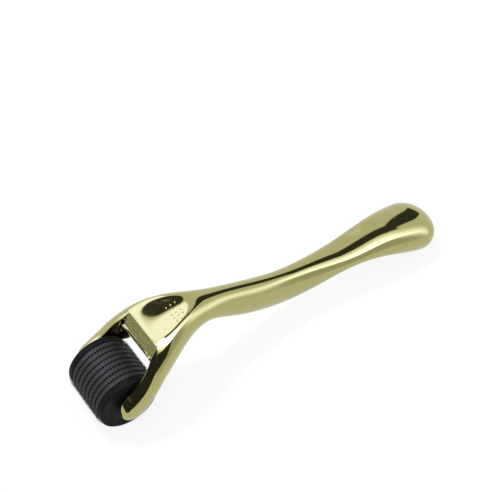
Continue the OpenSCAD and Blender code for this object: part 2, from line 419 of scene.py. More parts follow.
@dataclass
class ForkHandle:
    """The fork handle's skin, its grip dots and its bushes.

    Stations are in millimetres from the axle, and a fade or rise is the stretch of them over which it
    eases. Angles are in degrees: round a section, round an arm's tip, or round the bulb's end. Shares
    and lifts run across the underside, of its half width, of its rise to the web and of the toe.
    """

    frame: Frame
    shape: HandleShape = field(default_factory=HandleShape)
    bridge_crease: float = 1.0
    arm_crease: float = 0.35
    underside_crease: float = 0.6
    rounding_levels: int = 3
    seam_step: float = 0.03
    dot_diameter: float = 0.6
    dot_height: float = 0.25
    dish_reach: float = 3.2
    first_dot: tuple = (21.5, 1.7)
    row_step: tuple = (0.0, -1.6)
    place_step: tuple = (1.6, 0.1)
    dot_rows: int = 5
    dots_in_row: int = 3
    dot_sides: int = 12
    dot_lifts: tuple = (-60, -20, 15, 40, 65)
    dot_neighbours: int = 4
    yoke_stations: tuple = (13.4, 15.5, 18, 20.5, 23, 25.5, 28, 31, 34, 38, 42, 46, 50)
    grip_first: float = 55.0
    grip_spacing: float = 5.0
    bulb_angles: tuple = (18, 36, 52, 66, 78, 86)
    side_angles: tuple = (-19.4, -37.0, -49.0)
    cheek_angle: float = 60.0
    cheek_share: float = 0.97
    cheek_limit: float = 7.9
    cheek_clearance: float = 0.02
    cheek_end: float = 31.0
    cheek_fade: tuple = (16.0, 30.0)
    under_angles: tuple = (-66, -73, -80, -90, -100, -107, -114)
    under_shares: tuple = (-1, -1, -0.5, 0, 0.5, 1, 1)
    under_lifts: tuple = (0.5, 1, 1, 1, 1, 1, 0.5)
    under_fade: tuple = (15.0, 27.0)
    toe_shares: tuple = (0, 0.5, 1, 0.72, 0.6, 0.72, 1, 0.5, 0)
    dish_fade: tuple = (24.0, 33.0)
    dish_rise: tuple = (12.5, 19.0)
    tip_angles: tuple = (90, 68, 45, 22)
    arm_stations: tuple = (0, 2.5, 5.0, 7.5, 10.0)

    def body_rings(self) -> Array:
        """Control rings of the yoke and grip, from the bridge to the bulb's end.

        A ring runs from the +Y side over the top to the -Y side and back under the bottom. The top
        between the ridges is a chord sunk by the dish, which fades out at the neck, and the bottom
        between the cheeks rises to the web's underside, which fades out at the hump.

        Returns:
            Points of shape (rings, 28, 3) in millimetres.
        """
        s = self.shape
        bulb = s.grip_end - s.bulb_round
        ends = bulb + s.bulb_round * np.sin(np.radians(self.bulb_angles))
        grip = np.arange(self.grip_first, bulb - self.grip_spacing / 2, self.grip_spacing)
        x = np.concatenate([[s.bridge_front], self.yoke_stations, grip, [bulb], ends])
        ridge = s.ridge_angle(x)
        quarter = np.linspace(0, 1, TOP + 1)[None, :] * ridge[:, None]
        share = np.linspace(0, 1, ACROSS)[None, 1:-1]
        top_inner = ridge[:, None] + (math.pi - 2 * ridge[:, None]) * share
        side = np.radians(self.side_angles)[None, :] * np.ones_like(x)[:, None]
        near = np.minimum(s.ridge_y(x) * self.cheek_share, self.cheek_limit)
        cheek = -s.angle_at(x, np.where(x < self.cheek_end, near, s.ridge_y(x)))
        fade = smooth_step(*self.cheek_fade, x)
        full = math.radians(self.cheek_angle)
        cheek = cheek * (1 - fade) - fade * full
        side = side * np.minimum(1, np.abs(cheek) / full)[:, None]
        under = np.radians(self.under_angles)[None, :] * np.ones_like(x)[:, None]
        half = np.concatenate([quarter, top_inner, math.pi - quarter[:, ::-1]], 1)
        below = np.concatenate([
            math.pi - side, math.pi - cheek[:, None], under[:, ::-1] % (2 * math.pi),
            cheek[:, None], side[:, ::-1],
        ], 1)
        angle = np.concatenate([half, below], 1)
        rings = s.around(np.repeat(x[:, None], angle.shape[1], 1), angle)
        self.sink_dish(rings)
        self.hollow_yoke(rings)
        return rings

    def sink_dish(self, rings: Array) -> None:
        """Flatten and sink the top between the ridges, as a chord less D (1 - (y / ridge)^2)."""
        s = self.shape
        x = rings[:, 0, 0]
        flat = 1 - smooth_step(*self.dish_fade, x)
        depth = s.dish_depth * smooth_step(*self.dish_rise, x) * flat
        between = slice(TOP, TOP + ACROSS)
        y, z = rings[:, between, 1], rings[:, between, 2]
        edge_y, edge_z = rings[:, TOP, 1][:, None], rings[:, TOP, 2][:, None]
        chord = edge_z - depth[:, None] * (1 - (y / edge_y) ** 2)
        rings[:, between, 2] = chord * flat[:, None] + z * (1 - flat[:, None])

    def hollow_yoke(self, rings: Array) -> None:
        """Raise the bottom between the cheeks to the web's underside, deepest at the bridge."""
        s = self.shape
        x = rings[:, 0, 0]
        roof = rings[:, TOP, 2] - s.bridge_thickness
        deep = 1 - smooth_step(*self.under_fade, x)[:, None]
        wall_y = np.minimum(s.bridge_half - self.cheek_clearance, -rings[:, CHEEK, 1])
        cells = slice(CHEEK + 1, CHEEK + 1 + len(self.under_shares))
        base = rings[:, cells, :].copy()
        low = rings[:, CHEEK, 2][:, None]
        hollow_z = low + (roof[:, None] - low) * np.array(self.under_lifts)[None, :]
        hollow_y = wall_y[:, None] * np.array(self.under_shares)[None, :]
        rings[:, cells, 1] = hollow_y * deep + base[..., 1] * (1 - deep)
        rings[:, cells, 2] = hollow_z * deep + base[..., 2] * (1 - deep)
        toe = s.bridge_toe * np.array(self.toe_shares)
        rings[0, CHEEK:CHEEK + len(toe), 0] -= toe

    def arm_rings(self, bridge: Array) -> Array:
        """Control rings of the +Y arm, from its tip to the bridge.

        A ring runs from the bottom inner edge round the outside to the top inner edge, then down
        the inner wall. Seen from above, a tip is rounded as (1 - k^4)^(1/4) about its middle.

        Args:
            bridge: the yoke's first ring, which the arm's last ring has to meet.

        Returns:
            Points of shape (rings, OUTER + WALL_ROWS + 1, 3) in millimetres.
        """
        s = self.shape
        tip = -s.tip_reach * np.sin(np.radians(self.tip_angles))
        x = np.concatenate([tip, self.arm_stations])
        share = np.linspace(0, 1, OUTER)[None, :]
        low, high = s.inner_angle(x, -1)[:, None], s.inner_angle(x, 1)[:, None]
        outer = s.around(np.repeat(x[:, None], OUTER, 1), low + (high - low) * share)
        shares = (np.arange(1, WALL_ROWS + 2) / (WALL_ROWS + 2))[None, :, None]
        wall = outer[:, -1:, :] * (1 - shares) + outer[:, :1, :] * shares
        wall[..., 1] = s.inner_y(wall[..., 0], wall[..., 2])
        rings = np.concatenate([outer, wall], 1)
        rounding = (1 - np.clip(-x / s.tip_reach, 0, 1) ** 4) ** 0.25
        rings[..., 1] = s.tip_middle + (rings[..., 1] - s.tip_middle) * rounding[:, None]
        front = self.front_rows(bridge)[1:-1, 0]
        last = [bridge[-SIDE_ROWS - 1:], bridge[:TOP + 1], front, bridge[[-ROOF_END, 1 - ROOF_END]]]
        return np.concatenate([rings, np.concatenate(last)[None]], 0)

    def front_rows(self, bridge: Array) -> Array:
        """The bridge's front wall from its top edge down to its underside, hollowed between its edges.

        Args:
            bridge: the yoke's first ring.

        Returns:
            Points of shape (rows, 5, 3), from +Y to -Y along a row.
        """
        top = bridge[TOP:TOP + ACROSS]
        under = bridge[-ROOF_END - np.arange(ACROSS)]
        share = np.linspace(0, 1, WALL_ROWS + 1)[:, None, None]
        rows = top[None] * (1 - share) + under[None] * share
        hollow = 4 * share[..., 0] * (1 - share[..., 0])
        across = 1 - (rows[..., 1] / self.shape.bridge_half) ** 2
        rows[..., 0] += self.shape.front_hollow * hollow * across
        rows[..., 2] -= self.shape.lip_drop * hollow * share[..., 0]
        return rows

    def cage(self) -> tuple[Array, list, Array, list]:
        """The whole handle's control cage.

        Returns:
            Points in millimetres, faces, for each face whether it belongs to the underside cover, and
            the crisp edges as pairs of a run of point numbers and a crease weight.
        """
        rings = self.body_rings()
        count, around = rings.shape[:2]
        points = [rings.reshape(-1, 3)]
        faces = [grid_quads(count, around, True)]
        cover = self.cover_faces(rings)
        start = count * around
        points.append(np.array([[self.shape.grip_end, 0, float(self.shape.middle(self.shape.grip_end))]]))
        ring = start - around + np.arange(around)
        fan = [(a, b, start) for a, b in zip(ring, np.roll(ring, -1), strict=True)]
        start += 1
        arm = self.arm_rings(rings[0])
        mirrored = arm * np.array([1, -1, 1])
        crisp = [(np.arange(TOP, TOP + ACROSS), self.bridge_crease),
                 (around - ROOF_END - np.arange(ACROSS), self.underside_crease)]
        for side, rows in ((1, arm), (-1, mirrored)):
            along = start + rows.shape[1] * np.arange(rows.shape[0])
            crisp += [(along + OUTER - 1, self.arm_crease), (along, self.underside_crease)]
            quads = grid_quads(rows.shape[0], rows.shape[1], True, start)
            faces.append(quads if side > 0 else quads[:, ::-1])
            points.append(rows.reshape(-1, 3))
            start += rows.shape[0] * rows.shape[1]
        front = self.front_rows(rings[0])
        # These quads face inwards, so closed_half also stretches a flat sheet across their rim.
        faces.append(grid_quads(front.shape[0], front.shape[1], False, start))
        points.append(front.reshape(-1, 3))
        quads = [list(f) for block in faces for f in block]
        others = np.zeros(len(quads) - len(cover), bool)
        flags = np.concatenate([cover, others, cover.reshape(count - 1, around)[-1]])
        return np.concatenate(points), quads + fan, flags, crisp

    def cover_faces(self, rings: Array) -> Array:
        """Which of the yoke and grip's quads belong to the cover under the grip."""
        count, around = rings.shape[:2]
        behind = rings[:-1, 0, 0] >= self.shape.cover_start
        column = np.arange(around)
        below = (column >= 2 * TOP + ACROSS) & (column <= around - 2)
        return (behind[:, None] & below[None, :]).reshape(-1)

    def rounded_skin(self) -> tuple[Array, Array, Array]:
        """Round the cage by subdivision.

        Returns:
            Points in metres, quads, and for each quad whether it belongs to the cover.
        """
        points, faces, flags, crisp = self.cage()
        points, kept, renamed, stays = weld(points, faces, CAGE_WELD)
        rough = mesh_object("rough_skin", self.frame.place(points), kept)
        rough.data.polygons.foreach_set("material_index", flags[stays].astype(int))
        self.crease(rough.data, [(renamed[run], weight) for run, weight in crisp])
        smooth = rough.modifiers.new("round", "SUBSURF")
        smooth.levels = smooth.render_levels = self.rounding_levels
        done = rough.evaluated_get(bpy.context.evaluated_depsgraph_get()).to_mesh()
        places = np.empty(len(done.vertices) * 3)
        done.vertices.foreach_get("co", places)
        corners = np.empty(len(done.loops), int)
        done.loops.foreach_get("vertex_index", corners)
        owner = np.empty(len(done.polygons), int)
        done.polygons.foreach_get("material_index", owner)
        bpy.data.objects.remove(rough, do_unlink=True)
        return places.reshape(-1, 3), corners.reshape(-1, 4), owner == 1

    def crease(self, mesh: bpy.types.Mesh, crisp: list) -> None:
        """Weight the cage's crisp edges.

        Args:
            mesh: the cage.
            crisp: pairs of a run of point numbers and its weight.
        """
        ends = np.empty(len(mesh.edges) * 2, int)
        mesh.edges.foreach_get("vertices", ends)
        ends = np.sort(ends.reshape(-1, 2), 1)
        keys = ends[:, 0] * len(mesh.vertices) + ends[:, 1]
        weights = np.zeros(len(keys))
        for run, weight in crisp:
            pairs = np.sort(np.stack([run[:-1], run[1:]], 1), 1)
            weights[np.isin(keys, pairs[:, 0] * len(mesh.vertices) + pairs[:, 1])] = weight
        mesh.attributes.new("crease_edge", "FLOAT", "EDGE").data.foreach_set("value", weights)

    def closed_half(self, name: str, points: Array, quads: Array, step: float) -> bpy.types.Object:
        """Make one moulding of the skin: its quads, closed by a wall straight across its open rim.

        The rim is the same on both sides of the middle plane, so the wall's strips join each rim edge
        on the +Y side to its mirror image.

        Args:
            name: the piece's name.
            points: all the skin's points in metres.
            quads: the moulding's own quads.
            step: how far the rim is set in, in millimetres, which draws the joint line.

        Returns:
            The closed piece.
        """
        used, numbered = np.unique(quads, return_inverse=True)
        quads, places = numbered.reshape(-1, 4), points[used]
        starts, ends = open_edges(quads, len(used))
        rim = np.unique(starts)
        wall = wall_across(places, starts, ends)
        inward = places[rim] * np.array([0, -1, 0])
        length = np.maximum(np.abs(inward[:, 1:2]), NO_LENGTH)
        places[rim] += inward / length * np.minimum(step * MM, length)
        made = mesh_object(name, places, list(quads) + wall)
        pairs = np.empty(len(made.data.edges) * 2, int)
        made.data.edges.foreach_get("vertices", pairs)
        on_rim = np.isin(pairs.reshape(-1, 2), rim).all(1)
        made.data.attributes.new("sharp_edge", "BOOLEAN", "EDGE").data.foreach_set("value", on_rim)
        return made

    def dots(self, points: Array) -> bpy.types.Object:
        """Make the grip dots: flattened domes, each a lathed quarter ellipse sunk a little in the dish.

        Args:
            points: the skin's points in metres, which give the dish's level under each dot.

        Returns:
            One piece that holds every dot.
        """
        row = np.repeat(np.arange(self.dot_rows), self.dots_in_row)[:, None]
        place = np.tile(np.arange(self.dots_in_row), self.dot_rows)[:, None]
        flat = np.array(self.first_dot) + row * np.array(self.row_step) + place * np.array(self.place_step)
        middles = self.frame.place(np.column_stack([flat, np.zeros(len(flat))]))
        upper = points[points[:, 2] > points[:, 2].max() - self.dish_reach * MM]
        away = np.linalg.norm(upper[None, :, :2] - middles[:, None, :2], axis=-1)
        nearest = np.argsort(away, axis=1)[:, :self.dot_neighbours]
        middles[:, 2] = np.take(upper[:, 2], nearest).mean(1)
        turn = np.linspace(0, 2 * math.pi, self.dot_sides, endpoint=False)[None, :]
        lift = np.radians(self.dot_lifts)[:, None]
        dome = np.stack([
            self.dot_diameter / 2 * np.cos(lift) * np.cos(turn),
            self.dot_diameter / 2 * np.cos(lift) * np.sin(turn),
            self.dot_height * np.sin(lift) * np.ones_like(turn),
        ], -1).reshape(-1, 3)
        dome = np.vstack([dome, [[0, 0, self.dot_height], [0, 0, -self.dot_height]]]) * MM
        rings, around = lift.shape[0], turn.shape[1]
        column = np.arange(around)
        top_row = (rings - 1) * around
        caps = [(top_row + c, top_row + (c + 1) % around, rings * around) for c in column]
        caps += [((c + 1) % around, c, rings * around + 1) for c in column]
        one = [tuple(f) for f in grid_quads(rings, around, True)] + caps
        faces = [[c + k * len(dome) for c in f] for k in range(len(middles)) for f in one]
        return mesh_object("grip_dots", (middles[:, None] + dome[None]).reshape(-1, 3), faces)

    def build(self, gold: bpy.types.Material, bush: bpy.types.Material) -> list:
        """Build the two mouldings and the dots, and dress them and the bushes.

        Args:
            gold: the plated finish.
            bush: the bushes' plastic.

        Returns:
            The new pieces.
        """
        points, quads, cover = self.rounded_skin()
        top = self.closed_half("handle_top", points, quads[~cover], 0.0)
        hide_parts("upper_shell")
        lower = self.closed_half("handle_cover", points, quads[cover], self.seam_step)
        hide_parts("lower_shell")
        pieces = [top, lower, self.dots(points)]
        for piece in pieces:
            piece.data.materials.append(gold)
            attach(piece, Body.HANDLE.value)
        for side in ("left", "right"):
            dress(self.frame.nodes[f"{side}_axle_bush"], bush)
        return pieces


# ---------------------------------------------------------------------------------------------
# The roller
# ---------------------------------------------------------------------------------------------


@dataclass
class RollerStack:
    """The roller: needle discs and spacer rings threaded on a hexagonal spindle between two end caps.

    Sizes are in millimetres. A needle's root, waist and point are half angles in degrees.
    """

    frame: Frame
    discs: int = 9
    needles: int = 60
    disc_thickness: float = 0.25
    ring_radius: float = 10.0
    band_radius: float = 9.85
    groove_radius: float = 9.45
    ring_shoulder: float = 0.32
    shoulder_steps: int = 5
    spindle_flats: float = 9.1
    cap_rim: float = 0.6
    cap_recess: float = 0.12
    hub_radius: float = 3.4
    axle_radius: float = 1.5
    turned_steps: int = 180
    needle_root: float = 1.5
    needle_waist: float = 1.15
    needle_point: float = 0.3
    waist_height: float = 0.55
    point_thinness: float = 0.6
    shoulder_width: float = 0.9
    cap_width: float = 2.1
    cap_bevel: float = 0.15
    recess_inset: float = 1.5
    recess_slope: float = 0.3
    axle_step: float = 0.1

    def lathe(self, name: str, profile: Array, bore: int) -> bpy.types.Object:
        """Turn a closed profile about the axle, with its first points on the spindle's hexagonal bore.

        A bore point's radius follows the hexagon, r = flat / cos(angle to the nearest flat's middle).

        Args:
            name: the piece's name.
            profile: rows of radius and place along the axle in millimetres, wound so that the walls
                face outwards; the first `bore` rows lie on the bore.
            bore: how many rows lie on the bore.

        Returns:
            The piece.
        """
        turn = np.linspace(0, 2 * math.pi, self.turned_steps, endpoint=False)
        radius = np.repeat(profile[None, :, 0], len(turn), 0)
        radius[:, :bore] = self.hexagon(turn)[:, None]
        along = np.repeat(profile[None, :, 1], len(turn), 0)
        points = np.stack([
            radius * np.cos(turn)[:, None], along, radius * np.sin(turn)[:, None] + self.frame.axle[2] / MM
        ], -1).reshape(-1, 3)
        quads = grid_quads(len(turn) + 1, len(profile), True) % len(points)
        points, faces, *_ = weld(points, quads, TURNED_WELD)
        return mesh_object(name, self.frame.place(points), faces)

    def hexagon(self, turn: Array) -> Array:
        """The bore's radius at each angle."""
        sector = math.pi / 3
        return self.spindle_flats / 2 / np.cos((turn % sector) - sector / 2)

    def spacer_ring(self, number: int, place: float, half: float) -> bpy.types.Object:
        """Make one spacer ring: a plain band with elliptical shoulders that fall to the discs.

        Args:
            number: the ring's number from the right.
            place: its middle along the axle.
            half: half its width.

        Returns:
            The ring.
        """
        ease = np.linspace(0, math.pi / 2, self.shoulder_steps)
        drop = self.ring_shoulder * (1 - np.sin(ease))
        inset = self.shoulder_width * self.ring_shoulder * (1 - np.cos(ease))
        rising = np.stack([self.band_radius - drop, -half + inset], 1)
        falling = rising[::-1] * np.array([1, -1])
        profile = np.vstack([[[1, half], [1, -half]], rising, falling]) + np.array([0, place])
        return self.lathe(f"band_{number}", profile, 2)

    def end_cap(self, side: int, inner: float, outer: float, reach: float) -> bpy.types.Object:
        """Make one end cap: a flange with a rounded rim, a shallow recess and a stub axle.

        Args:
            side: 1 for left (+Y), -1 for right.
            inner: where its inner face lies along the axle.
            outer: where its outer face lies.
            reach: where its stub axle ends.

        Returns:
            The cap.
        """
        rim = np.radians(np.linspace(0, 90, 7))
        edge = np.stack([self.ring_radius - self.cap_rim * (1 - np.cos(rim)),
                         outer - self.cap_rim * (1 - np.sin(rim))], 1)
        wall, floor = self.ring_radius - self.recess_inset, outer - self.cap_recess
        slope, bevel = self.recess_slope, self.cap_bevel
        profile = np.vstack([
            [[0, inner], [self.ring_radius - bevel, inner], [self.ring_radius, inner + bevel]], edge,
            [[wall, outer], [wall - slope, floor], [self.hub_radius + slope, floor],
             [self.hub_radius, outer], [self.axle_radius + bevel, outer],
             [self.axle_radius, outer + self.axle_step], [self.axle_radius, reach - slope],
             [self.axle_radius - slope, reach], [0, reach]],
        ]) * np.array([1, side])
        name = "end_cap_left" if side > 0 else "end_cap_right"
        return self.lathe(name, profile if side > 0 else profile[::-1], 0)

    def needle_disc(self, number: int, place: float, tip: float) -> bpy.types.Object:
        """Make one disc of needles: a thin plate whose rim is drawn out into tapering points.

        Each needle has three sections, root, waist and point, whose half angle and half thickness
        shrink together. A fourth lies on the bore. Between the needles the rim is the plate's plain edge.

        Args:
            number: the disc's number from the right.
            place: its middle along the axle.
            tip: the radius at the needles' points.

        Returns:
            The disc.
        """
        count = self.needles
        middle = np.arange(count) * 2 * math.pi / count + (number % 2) * math.pi / count
        half = self.disc_thickness / 2
        waist = self.groove_radius + self.waist_height * (tip - self.groove_radius)
        sections = [(self.groove_radius, self.needle_root, half), (waist, self.needle_waist, half),
                    (tip, self.needle_point, half * self.point_thinness), (None, self.needle_root, half)]
        layers = []
        for radius, spread, thick in sections:
            for turn_sign, face_sign in ((-1, -1), (1, -1), (1, 1), (-1, 1)):
                turn = middle + turn_sign * math.radians(spread)
                reach = self.hexagon(turn) if radius is None else radius
                layers.append(np.stack([reach * np.cos(turn), np.full(count, place + face_sign * thick),
                                        reach * np.sin(turn)], -1))
        points = np.stack(layers, 1)
        points[..., 2] += self.frame.axle[2] / MM
        stride = points.shape[1]
        needle = [(low + k, low + (k + 1) % 4, low + 4 + (k + 1) % 4, low + 4 + k)
                  for low in (0, 4) for k in range(4)] + [(8, 9, 10, 11)]
        plate = [(12, 13, 1, 0), (3, 2, 14, 15), (15, 14, 13, 12)]
        after = stride
        gap = [(1, 13, after + 12, after), (2, 1, after, after + 3), (14, 2, after + 3, after + 15),
               (13, 14, after + 15, after + 12)]
        base = np.arange(count)[:, None, None] * stride
        faces = (np.array(needle + plate + gap)[None] + base) % (count * stride)
        return mesh_object(f"needles_{number}", self.frame.place(points.reshape(-1, 3)),
                           faces.reshape(-1, 4)[:, ::-1], smooth=False)

    def span(self, node: str) -> tuple[float, float]:
        """A node's ends along the axle, in millimetres."""
        low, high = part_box(node)
        return low[1] / MM, high[1] / MM

    def build(self, steel: bpy.types.Material, ring: bpy.types.Material, cap: bpy.types.Material,
              core: bpy.types.Material) -> list:
        """Build and dress every piece that turns.

        Args:
            steel: the needles' finish.
            ring: the spacer rings' plastic.
            cap: the end caps' plastic.
            core: the spindle's plastic.

        Returns:
            The new pieces.
        """
        pieces = []
        for number in range(1, self.discs + 1):
            low, high = self.span(f"needle_disc_{number}")
            tip = (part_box(f"needle_disc_{number}")[1][0] - self.frame.axle[0]) / MM
            piece = self.needle_disc(number, (low + high) / 2, tip)
            pieces.append((piece, f"needle_disc_{number}", steel, Slot.STEEL))
        for number in range(1, self.discs):
            low, high = self.span(f"spacer_ring_{number}")
            piece = self.spacer_ring(number, (low + high) / 2, (high - low) / 2)
            pieces.append((piece, f"spacer_ring_{number}", ring, Slot.RING))
        for side, name in ((1, "left"), (-1, "right")):
            low, high = self.span(f"{name}_end_cap")
            inner, reach = (low, high) if side > 0 else (-high, -low)
            piece = self.end_cap(side, inner, inner + self.cap_width, reach)
            pieces.append((piece, f"{name}_end_cap", cap, Slot.CAP))
        for piece, node, finish, slot in pieces:
            piece.data.materials.append(finish)
            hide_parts(node)
            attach(piece, Body.ROLLER.value)
        dress(self.frame.nodes["core_spindle"], core)
        return [piece for piece, *_ in pieces]


def dress(node: bpy.types.Object, finish: bpy.types.Material) -> None:
    """Give a carried-over node its finish, in every slot."""
    node.data.materials.clear()
    node.data.materials.append(finish)


# ---------------------------------------------------------------------------------------------
# Finishes
# ---------------------------------------------------------------------------------------------


FLOAT = "NodeSocketFloat"
COLOUR = "NodeSocketColor"
# The stretch of a noise over which two shades change over, and the stretch of two noises multiplied
# over which handling marks come in. FINER_MARKS is the second noise's scale over the first's.
DRIFT_STRETCH = (0.35, 0.65)
MARKS_STRETCH = (0.2, 0.36)
FINER_MARKS = 4.3


@dataclass
class Effect:
    """A shader node group being put together, with its inputs' socket types and its one output."""

    name: str
    inputs: dict
    output: tuple
    tree: bpy.types.NodeTree = field(init=False)
    entry: bpy.types.Node = field(init=False)

    def __post_init__(self) -> None:
        """Start the group with its sockets and its entry."""
        self.tree = bpy.data.node_groups.new(self.name, "ShaderNodeTree")
        for name, kind in self.inputs.items():
            self.tree.interface.new_socket(name, in_out="INPUT", socket_type=kind)
        self.tree.interface.new_socket(self.output[0], in_out="OUTPUT", socket_type=self.output[1])
        self.entry = self.tree.nodes.new("NodeGroupInput")

    def finish(self, source: bpy.types.NodeSocket) -> bpy.types.NodeTree:
        """Put a value out of the group and hand the group over."""
        self.link(source, self.tree.nodes.new("NodeGroupOutput").inputs[0])
        return self.tree

    def given(self, name: str, target: bpy.types.NodeSocket) -> None:
        """Join one of the group's inputs to a socket."""
        self.link(self.entry.outputs[name], target)

    def ease(self, stretch: tuple = (0.0, 1.0)) -> bpy.types.Node:
        """Add a smooth step over a stretch of values."""
        step = self.node("ShaderNodeMapRange", interpolation_type="SMOOTHSTEP")
        step.inputs["From Min"].default_value, step.inputs["From Max"].default_value = stretch
        return step

    def node(self, kind: str, **settings: object) -> bpy.types.Node:
        """Add a node and set its properties."""
        return add_node(self.tree, kind, **settings)

    def link(self, source: bpy.types.NodeSocket, target: bpy.types.NodeSocket) -> None:
        """Join two sockets."""
        self.tree.links.new(source, target)

    def noise(self, scale: bpy.types.NodeSocket, detail: float = 3.0) -> bpy.types.NodeSocket:
        """Add a noise on the piece's own coordinates.

        Args:
            scale: the socket that gives the noise's scale.
            detail: its octaves.

        Returns:
            The noise's value.
        """
        place = self.node("ShaderNodeTexCoord")
        noise = self.node("ShaderNodeTexNoise")
        noise.inputs["Detail"].default_value = detail
        self.link(place.outputs["Object"], noise.inputs["Vector"])
        self.link(scale, noise.inputs["Scale"])
        return noise.outputs["Fac"]


def add_node(tree: bpy.types.NodeTree, kind: str, **settings: object) -> bpy.types.Node:
    """Add a node to a tree.

    Args:
        tree: the tree.
        kind: the node's type.
        settings: properties to set on it.

    Returns:
        The node.
    """
    node = tree.nodes.new(kind)
    for key, value in settings.items():
        setattr(node, key, value)
    return node


def blank_material(name: str) -> bpy.types.Material:
    """Make a material whose node tree is empty."""
    made = bpy.data.materials.new(name)
    made.use_nodes = True
    made.node_tree.nodes.clear()
    return made


def drift_effect() -> bpy.types.NodeTree:
    """Colour that wanders slowly between two near shades: a mix by a soft noise."""
    inputs = {"Shade A": COLOUR, "Shade B": COLOUR, "Scale": FLOAT}
    effect = Effect("colour_drift", inputs, ("Colour", COLOUR))
    spread = effect.ease(DRIFT_STRETCH)
    mix = effect.node("ShaderNodeMix", data_type="RGBA")
    effect.link(effect.noise(effect.entry.outputs["Scale"]), spread.inputs["Value"])
    effect.link(spread.outputs["Result"], mix.inputs["Factor"])
    effect.given("Shade A", mix.inputs["A"])
    effect.given("Shade B", mix.inputs["B"])
    return effect.finish(mix.outputs["Result"])


def handling_effect() -> bpy.types.NodeTree:
    """Roughness with faint handling marks: a broad noise times one about four times finer."""
    inputs = {"Clean": FLOAT, "Marked": FLOAT, "Scale": FLOAT}
    effect = Effect("handling_marks", inputs, ("Roughness", FLOAT))
    finer = effect.node("ShaderNodeMath", operation="MULTIPLY")
    finer.inputs[1].default_value = FINER_MARKS
    effect.given("Scale", finer.inputs[0])
    both = effect.node("ShaderNodeMath", operation="MULTIPLY")
    effect.link(effect.noise(effect.entry.outputs["Scale"]), both.inputs[0])
    effect.link(effect.noise(finer.outputs["Value"], detail=5.0), both.inputs[1])
    spread = effect.ease(MARKS_STRETCH)
    effect.link(both.outputs["Value"], spread.inputs["Value"])
    effect.given("Clean", spread.inputs["To Min"])
    effect.given("Marked", spread.inputs["To Max"])
    return effect.finish(spread.outputs["Result"])


def grain_effect() -> bpy.types.NodeTree:
    """Height of a moulded or plated surface: a broad swell and a fine grain, mixed by the grain's share."""
    inputs = {"Swell Scale": FLOAT, "Grain Scale": FLOAT, "Grain Share": FLOAT}
    effect = Effect("surface_grain", inputs, ("Height", FLOAT))
    mix = effect.node("ShaderNodeMix", data_type="FLOAT")
    effect.given("Grain Share", mix.inputs["Factor"])
    effect.link(effect.noise(effect.entry.outputs["Swell Scale"], detail=1.0), mix.inputs["A"])
    effect.link(effect.noise(effect.entry.outputs["Grain Scale"], detail=4.0), mix.inputs["B"])
    return effect.finish(mix.outputs["Result"])


def wear_effect() -> bpy.types.NodeTree:
    """Wear on the edges: the mesh's pointedness, broken up by a noise."""
    inputs = {"Start": FLOAT, "Full": FLOAT, "Scale": FLOAT}
    effect = Effect("edge_wear", inputs, ("Mask", FLOAT))
    surface = effect.node("ShaderNodeNewGeometry")
    spread = effect.ease()
    effect.link(surface.outputs["Pointiness"], spread.inputs["Value"])
    effect.given("Start", spread.inputs["From Min"])
    effect.given("Full", spread.inputs["From Max"])
    broken = effect.node("ShaderNodeMath", operation="MULTIPLY")
    effect.link(spread.outputs["Result"], broken.inputs[0])
    effect.link(effect.noise(effect.entry.outputs["Scale"]), broken.inputs[1])
    return effect.finish(broken.outputs["Value"])


@dataclass(frozen=True)
class Effects:
    """The node groups that the finishes share."""

    drift: bpy.types.NodeTree
    handling: bpy.types.NodeTree
    grain: bpy.types.NodeTree
    wear: bpy.types.NodeTree

    @classmethod
    def build(cls) -> Effects:
        """Build every group once."""
        return cls(drift_effect(), handling_effect(), grain_effect(), wear_effect())


